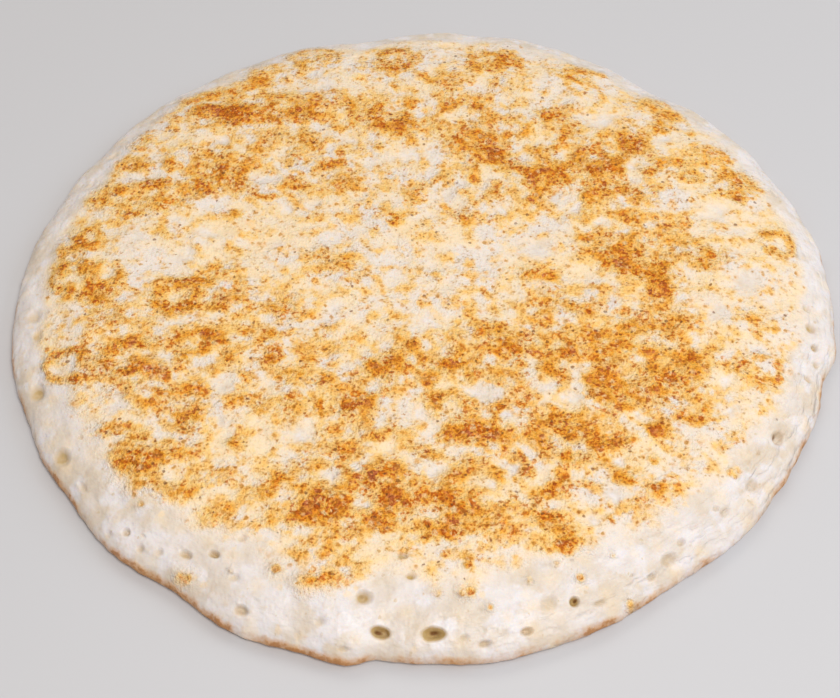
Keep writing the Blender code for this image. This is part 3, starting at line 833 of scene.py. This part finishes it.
class BreadLook(Look):
    """The cooked batter, from what was painted on the mesh and from noise."""

    def __init__(self, colours):
        super().__init__("griddled_batter")
        self.colours = colours
        self.noises = {
            name: self.noise(self.place, length * MM, detail, roughness)
            for name, (length, detail, roughness) in LOOK_NOISES.items()
        }
        self.stray = self.strayed_place(0.7 * MM, 0.6 * MM)
        self.toast = self.painted("toast")
        self.pore_shade = self.painted("pore_shade")
        self.creased = self.painted("creased")
        self.moist = (self.painted("moist") + self.uneven(mottle=0.7)).step(0.0, 1.0)
        self.dry = 1 - self.moist * 0.85
        inset = self.painted("inset") + self.noises["mottle"] * FOLD_WANDER
        self.folds = self.along_edge(inset, 8 * MM, 1.3 * MM)
        # Noise of the wrinkles: where it is high, the colour gets painted shade with some greyer tone of its
        # own, and the bump sinks.
        self.wrinkle_shade_and_tone = self.uneven(fleck=3.0, grain=1.2, mottle=1.4)

    def uneven(self, **shares):
        """The named noises, each round zero and times its share, summed."""
        parts = [(self.noises[name] - 0.5) * share for name, share in shares.items()]
        return sum(parts[1:], parts[0])

    def strayed_place(self, length, reach):
        """The place on the bread, shifted about, so that the cells laid out by it get uneven outlines."""
        values = {"Vector": self.place, "Scale": 1 / length, "Detail": 1.0}
        wander = self.node("ShaderNodeTexNoise", {}, values).outputs["Color"]
        return self.vectors("MULTIPLY_ADD", wander, (reach, reach, reach), self.place)

    def along_edge(self, inset, length, width):
        """Noise stretched along the edge of the round."""
        turns = FOLD_RADIUS / length
        turned = self.vectors("MULTIPLY", self.vectors("NORMALIZE", self.place), (turns, turns, 0.0))
        depth = self.node("ShaderNodeCombineXYZ", {}, {"Z": inset * (1 / width)}).outputs["Vector"]
        return self.noise(self.vectors("ADD", turned, depth), 1.0, 2.0, 0.55)

    def cells(self, length):
        """Cells of that length: the distance from a cell's middle, and three random numbers for each cell."""
        settings = {"voronoi_dimensions": "2D", "feature": "F1"}
        cells = self.node("ShaderNodeTexVoronoi", settings, {"Vector": self.stray, "Scale": 1 / length})
        parts = self.node("ShaderNodeSeparateColor", {}, {"Color": cells.outputs["Color"]})
        chances = [Number(self, parts.outputs[name]) for name in ("Red", "Green", "Blue")]
        return Number(self, cells.outputs["Distance"]), *chances

    def spots(self, length, reach, share, softness):
        """Dots in that share of the cells. Returns the dots and a random shade for each."""
        distance, chance, size, shade = self.cells(length)
        dot = ((size * 0.65 + 0.35) * reach - distance).step(-softness / 2, softness / 2)
        return dot * (share - chance).step(0.0, 0.08), shade

    def bubbles(self, length, share, width):
        """Rings of burst bubbles in that share of the cells. Returns the rings and their wider halos."""
        distance, chance, size, _shade = self.cells(length)
        off = (distance - (size * 0.24 + 0.12)).maths("ABSOLUTE")
        present = (share - chance).step(0.0, 0.15)
        return (1 - off.step(width * 0.2, width)) * present, (1 - off.step(0.0, width * 2.6)) * present

    def pale_batter(self):
        """The batter before it browns: white to greyish on the moist edge, warmer on the griddled top, with
        painted shade on the lee of the creased folds.
        """
        tints = self.colours
        wide, broad, mottle = (self.noises[name] for name in ("wide", "broad", "mottle"))
        steamed = self.mixed(wide.step(0.35, 0.65), tints.shade_cream, tints.cream)
        steamed = self.mixed(broad.step(0.48, 0.64) * 0.8, steamed, tints.cool_cream)
        steamed = self.mixed(mottle.step(0.54, 0.74) * 0.5, steamed, tints.shade_cream)
        stain, _shade = self.spots(4.5 * MM, 0.38, 0.5, 0.5)
        steamed = self.mixed(stain * 0.35, steamed, tints.griddled_cream)
        # Pinholes: dots in the pores' inside colour, partly their own colour and partly painted shade; the
        # mesh has no holes there.
        pinhole_shade, _shade = self.spots(2.6 * MM, 0.12, 0.2, 0.08)
        steamed = self.mixed(pinhole_shade * 0.6, steamed, tints.pore)
        sallow = (wide * 0.8 + broad * 0.6 + mottle * 0.3 - 0.35).step(0.30, 0.66)
        steamed = self.mixed(sallow * 0.12, steamed, tints.griddled_cream)
        # Painted shade on the lee side of the creased folds of the moist edge.
        shaded_lee = self.folds.step(0.46, 0.60) * self.creased * self.moist
        steamed = self.mixed(shaded_lee * 0.36, steamed, tints.shading, "MULTIPLY")
        warmed = self.mixed(sallow * 0.66 + 0.34, tints.cream, tints.griddled_cream)
        return self.mixed(self.moist, warmed, steamed)

    def griddled(self, colour):
        """Lays on the browning, tan to orange, with pale blisters, painted shade and greyer tone in the
        wrinkles, burst rings and grit.
        """
        tints, toast, dry = self.colours, self.toast, self.dry
        wide_ring, wide_halo = self.bubbles(3.6 * MM, (toast * 0.9 + 0.06) * dry, 0.16)
        small_ring, small_halo = self.bubbles(2.0 * MM, (toast * 1.1 + 0.08) * dry, 0.20)
        depth = toast * 0.9 + self.uneven(mottle=1.3, broad=0.5) + wide_halo * 0.18 + small_halo * 0.14 - 0.07
        depth = depth * dry
        hue = self.noise(self.stray, 1.9 * MM, 1.0)
        brown = self.mixed(hue.step(0.48, 0.66), tints.orange, tints.rosy)
        colour = self.mixed(depth.step(0.00, 0.38) * 0.78, colour, tints.tan)
        colour = self.mixed(depth.step(0.26, 0.74) * 0.88, colour, tints.gold)
        colour = self.mixed(depth.step(0.56, 1.08) * 0.75, colour, brown)

        blister, shade = self.spots(1.7 * MM, 0.44, toast * 0.8 + 0.05, 0.40)
        colour = self.mixed(blister * (shade * 0.40 + 0.35), colour, tints.blister)
        # Painted shade in the low wrinkles, mixed with their own greyer tone.
        wrinkle_shade_and_tone_share = self.wrinkle_shade_and_tone.step(-0.30, 0.80) * (toast * 0.32 + dry * 0.38 + 0.20)
        colour = self.mixed(wrinkle_shade_and_tone_share, colour, tints.shading, "MULTIPLY")

        ragged = self.uneven(fleck=2.6, grain=1.6)
        rings = wide_ring * 0.55 + small_ring * 0.60 + ragged + (toast - 0.2) * 0.5
        rings = rings.step(0.35, 1.15) * dry
        colour = self.mixed(rings * (toast * 1.1 + 0.15), colour, brown)
        grit = toast * 0.32 - 0.05 + ragged * 0.65 + self.uneven(fine=0.8, mottle=1.1) + rings * 0.30
        return self.mixed((grit * dry).step(0.15, 0.80) * 0.85, colour, tints.scorching, "MULTIPLY")

    def speckled(self, colour):
        """Lays the specks on. They crowd in some places, and keep off the moist batter."""
        crowd = (self.noises["mottle"].step(0.30, 0.70) * 1.2 + 0.4) * self.dry
        for length, reach, softness, browned, pale, least, varying, name, blend in SPECKS:
            dots, shade = self.spots(length * MM, reach, (self.toast * browned + pale) * crowd, softness)
            colour = self.mixed(dots * (shade * varying + least), colour, getattr(self.colours, name), blend)
        return colour

    def edged(self, colour):
        """Lays on the crust of the thin edge and the insides of the pores, in their own colour with painted
        shade.
        """
        tints = self.colours
        crusted = (self.painted("crust") + self.uneven(mottle=0.8, fleck=0.5)).step(0.1, 1.0)
        colour = self.mixed(crusted * 0.92, colour, tints.crust)
        streaks = (crusted * (self.noises["mottle"] + self.noises["fleck"] * 0.7)).step(0.58, 0.95)
        colour = self.mixed(streaks * 0.5, colour, tints.baked)
        # Painted shade in the pores, on their own colour: olive on the walls of the deepest, dark brown at
        # their bottoms.
        shaded_walls = (self.pore_shade + self.uneven(mottle=0.4)).step(0.78, 1.05)
        colour = self.mixed(self.pore_shade * 0.95, colour, self.mixed(shaded_walls, tints.pore, tints.olive_pore_shade))
        core_shade = (self.painted("deep") + self.uneven(mottle=0.8)).step(0.3, 1.0)
        return self.mixed(core_shade * 0.9, colour, tints.pore_bottom_shade)

    def bumps(self):
        """The finest relief: grain on the browning, soft folds on the moist edge."""
        toast, dry, noises = self.toast, self.dry, self.noises
        height = noises["fine"] * (dry * 0.20 + toast * 0.35 + 0.02)
        height += noises["fleck"] * (toast * 1.2 + dry * 0.45 + 0.08)
        height += noises["mottle"] - self.wrinkle_shade_and_tone * dry * 0.15
        height += noises["grain"] * (toast * 2.2 + dry * 0.30)
        height += self.folds * self.moist * (self.creased * 1.6 + 0.25)
        bump = self.node("ShaderNodeBump", {}, {"Strength": 1.0, "Distance": 0.55 * MM, "Height": height})
        return bump.outputs["Normal"]

    def cooked(self):
        """The whole material."""
        roughness = self.toast * 0.15 + 0.42 + self.uneven(grain=0.3) - self.moist * 0.04 + self.pore_shade * 0.4
        inputs = {
            "Base Color": self.edged(self.speckled(self.griddled(self.pale_batter()))),
            "Roughness": roughness,
            "Normal": self.bumps(),
            "Subsurface Weight": 0.25,
            "Subsurface Radius": (1.0, 0.7, 0.45),
            "Subsurface Scale": 1.0 * MM,
            "Specular IOR Level": 0.26,
        }
        return self.surface(inputs, {"subsurface_method": "RANDOM_WALK"})


def floor_look(studio):
    look = Look("studio_floor")
    pale = tuple(min(1.0, share * 1.05) for share in studio.floor)
    colour = look.mixed(look.noise(look.place, 0.3), studio.floor, pale)
    return look.surface({"Base Color": colour, "Roughness": 0.75, "Specular IOR Level": 0.2})


# ---------------------------------------------------------------- pieces and stage


def linked(name, data):
    item = bpy.data.objects.new(name, data)
    bpy.context.scene.collection.objects.link(item)
    return item


def lay_floor(studio):
    bm = bmesh.new()
    bmesh.ops.create_grid(bm, x_segments=8, y_segments=8, size=studio.floor_size / 2)
    mesh = bpy.data.meshes.new("studio_floor")
    bm.to_mesh(mesh)
    bm.free()
    floor = linked("studio_floor", mesh)
    floor.data.materials.append(floor_look(studio))


def light_room(scene, studio):
    world = bpy.data.worlds.new("studio_room")
    world.use_nodes = True
    room = world.node_tree.nodes["Background"]
    room.inputs["Color"].default_value = (*studio.sky, 1.0)
    room.inputs["Strength"].default_value = studio.sky_strength
    scene.world = world


def hang_lamp(name, place, size, power, colour):
    """Adds one soft lamp, aimed at the middle of the bread."""
    data = bpy.data.lights.new(name, "AREA")
    data.shape = "RECTANGLE"
    data.size, data.size_y = size
    data.energy = power
    data.color = colour
    lamp = linked(name, data)
    lamp.location = place
    lamp.rotation_euler = (-Vector(place)).to_track_quat("-Z", "Y").to_euler()


def set_camera(scene, studio):
    data = bpy.data.cameras.new("camera")
    data.lens = studio.lens
    data.clip_start = 10 * MM
    camera = linked("camera", data)
    back = Vector((0, -math.cos(studio.elevation), math.sin(studio.elevation)))
    camera.location = Vector(studio.target) + back * studio.distance
    camera.rotation_euler = (math.pi / 2 - studio.elevation, 0, 0)
    scene.camera = camera


class UTTAPAM_OT_bread(bpy.types.Operator):
    """Build the browned bread with its open pores"""

    bl_idname = "uttapam.bread"
    bl_label = "Bread"

    def execute(self, context):
        bread = linked("uttapam_bread", bread_mesh(context.scene.uttapam_sizes))
        bread.data.materials.append(BreadLook(context.scene.uttapam_colours).cooked())
        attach(bread, "root")
        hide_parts("uttapam")
        return {"FINISHED"}


class UTTAPAM_OT_stage(bpy.types.Operator):
    """Lay the pale floor, hang the soft lamps and set up the camera"""

    bl_idname = "uttapam.stage"
    bl_label = "Stage"

    def execute(self, context):
        studio = context.scene.uttapam_studio
        lay_floor(studio)
        light_room(context.scene, studio)
        for lamp in LAMPS:
            hang_lamp(*lamp)
        set_camera(context.scene, studio)
        context.scene.view_settings.view_transform = "Standard"
        return {"FINISHED"}


class UTTAPAM_PT_panel(bpy.types.Panel):
    """Sizes, colours and the steps that build the picture"""

    bl_idname = "UTTAPAM_PT_panel"
    bl_label = "Uttapam"
    bl_space_type = "VIEW_3D"
    bl_region_type = "UI"
    bl_category = "Uttapam"

    def draw(self, context):
        for group_name in GROUPS:
            group = getattr(context.scene, group_name)
            box = self.layout.box()
            for name in group.__annotations__:
                box.prop(group, name)
        for step in STEPS:
            self.layout.operator(step.bl_idname)


STEPS = (UTTAPAM_OT_bread, UTTAPAM_OT_stage)
GROUPS = {"uttapam_sizes": BreadSizes, "uttapam_colours": BreadColours, "uttapam_studio": StudioSizes}


def register():
    for kind in (*GROUPS.values(), *STEPS, UTTAPAM_PT_panel):
        bpy.utils.register_class(kind)
    for name, kind in GROUPS.items():
        setattr(bpy.types.Scene, name, PointerProperty(type=kind))


def unregister():
    for name in GROUPS:
        delattr(bpy.types.Scene, name)
    for kind in (UTTAPAM_PT_panel, *reversed(STEPS), *GROUPS.values()):
        bpy.utils.unregister_class(kind)


def main():
    register()
    bpy.ops.uttapam.bread()
    bpy.ops.uttapam.stage()


if __name__ == "__main__":
    main()
